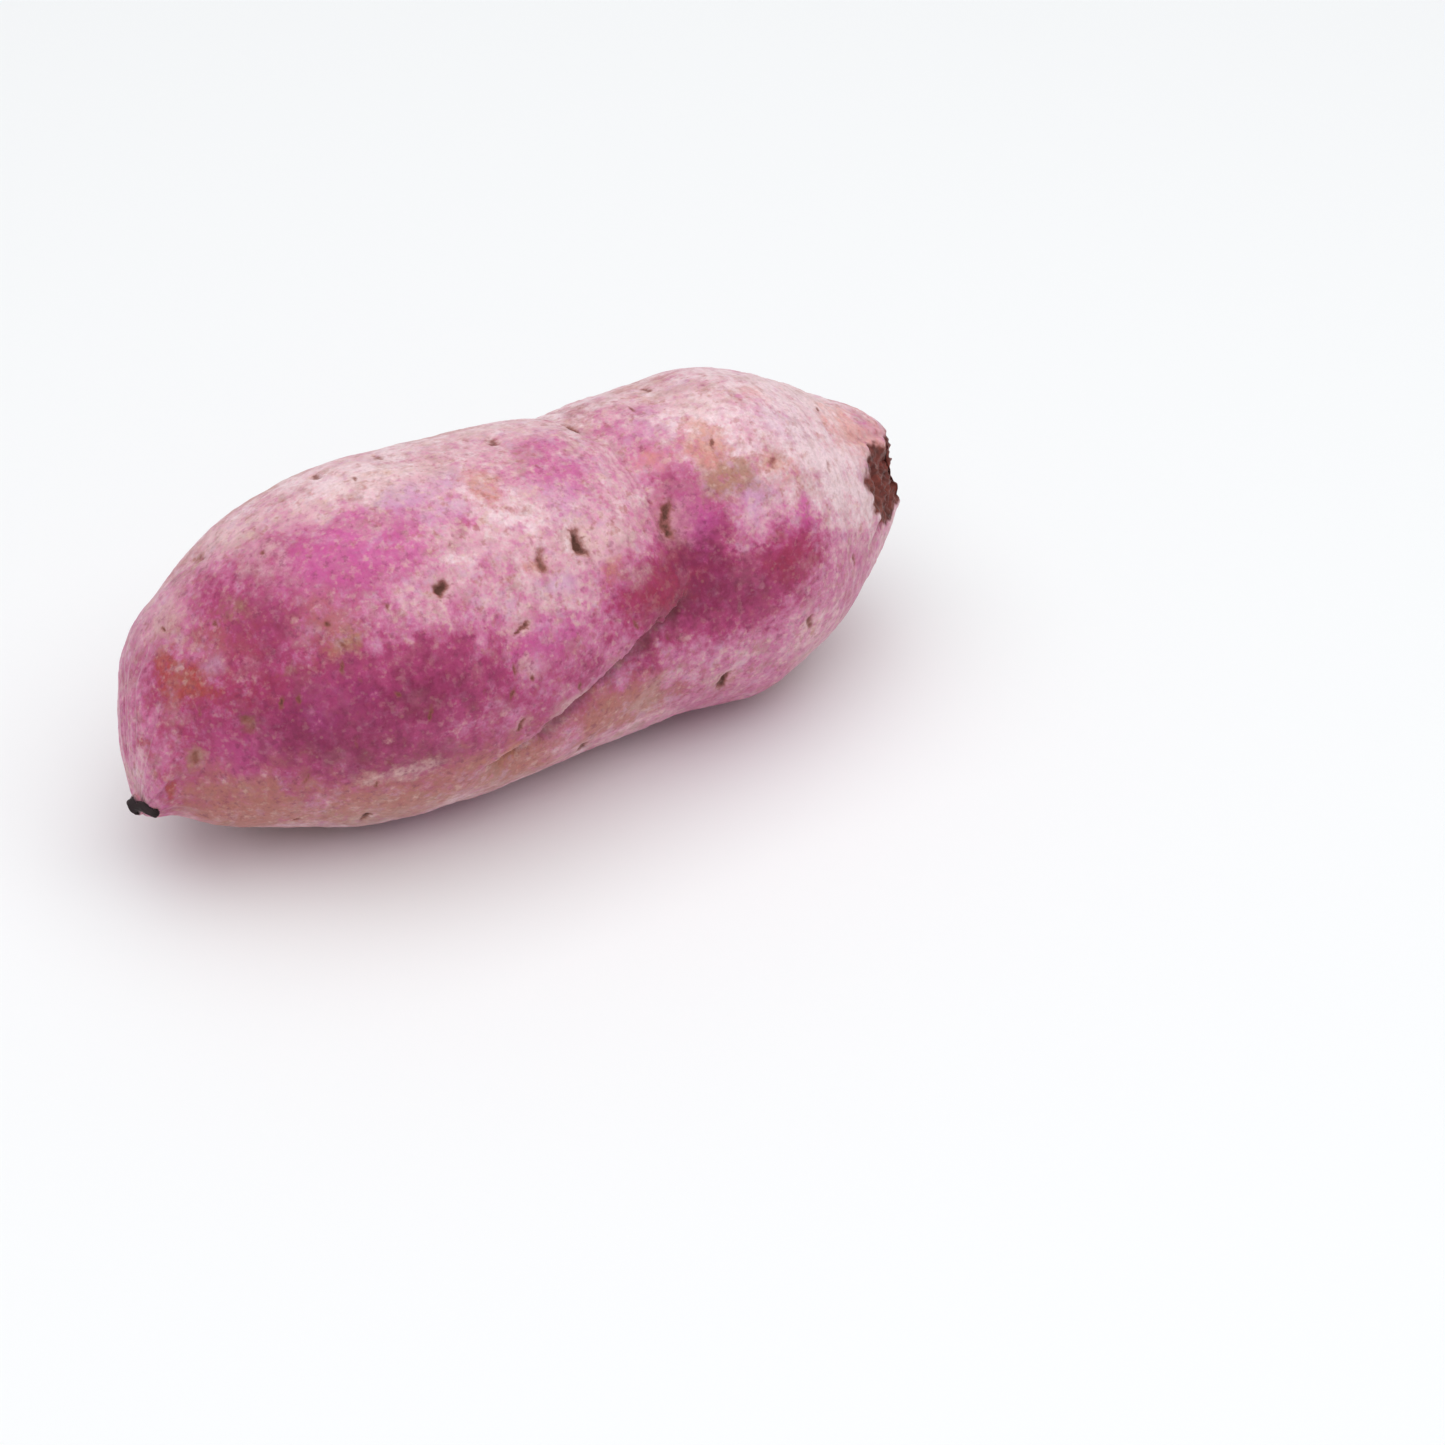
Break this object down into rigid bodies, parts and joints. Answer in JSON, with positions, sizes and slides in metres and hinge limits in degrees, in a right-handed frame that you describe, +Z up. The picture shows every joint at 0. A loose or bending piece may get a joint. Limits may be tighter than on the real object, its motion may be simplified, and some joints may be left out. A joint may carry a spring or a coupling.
{
  "type": "sweet potato",
  "caption": "Whole red-skinned sweet potato lying on its side, thick belly and smaller shoulder with a waist between, blunt tail end and torn stem scar.",
  "frame": {"origin": "middle of the underside, on the surface that the root rests on", "axes": "+X along the root from the tail tip to the stem scar, +Z up, -Y towards the flank that shows"},
  "size_m": [0.171, 0.0734, 0.0677],
  "materials": {
    "skin": "matt, thin mottled skin"
  },
  "bodies": {
    "root": {"sweet_potato": "skin"}
  },
  "joints": []
}
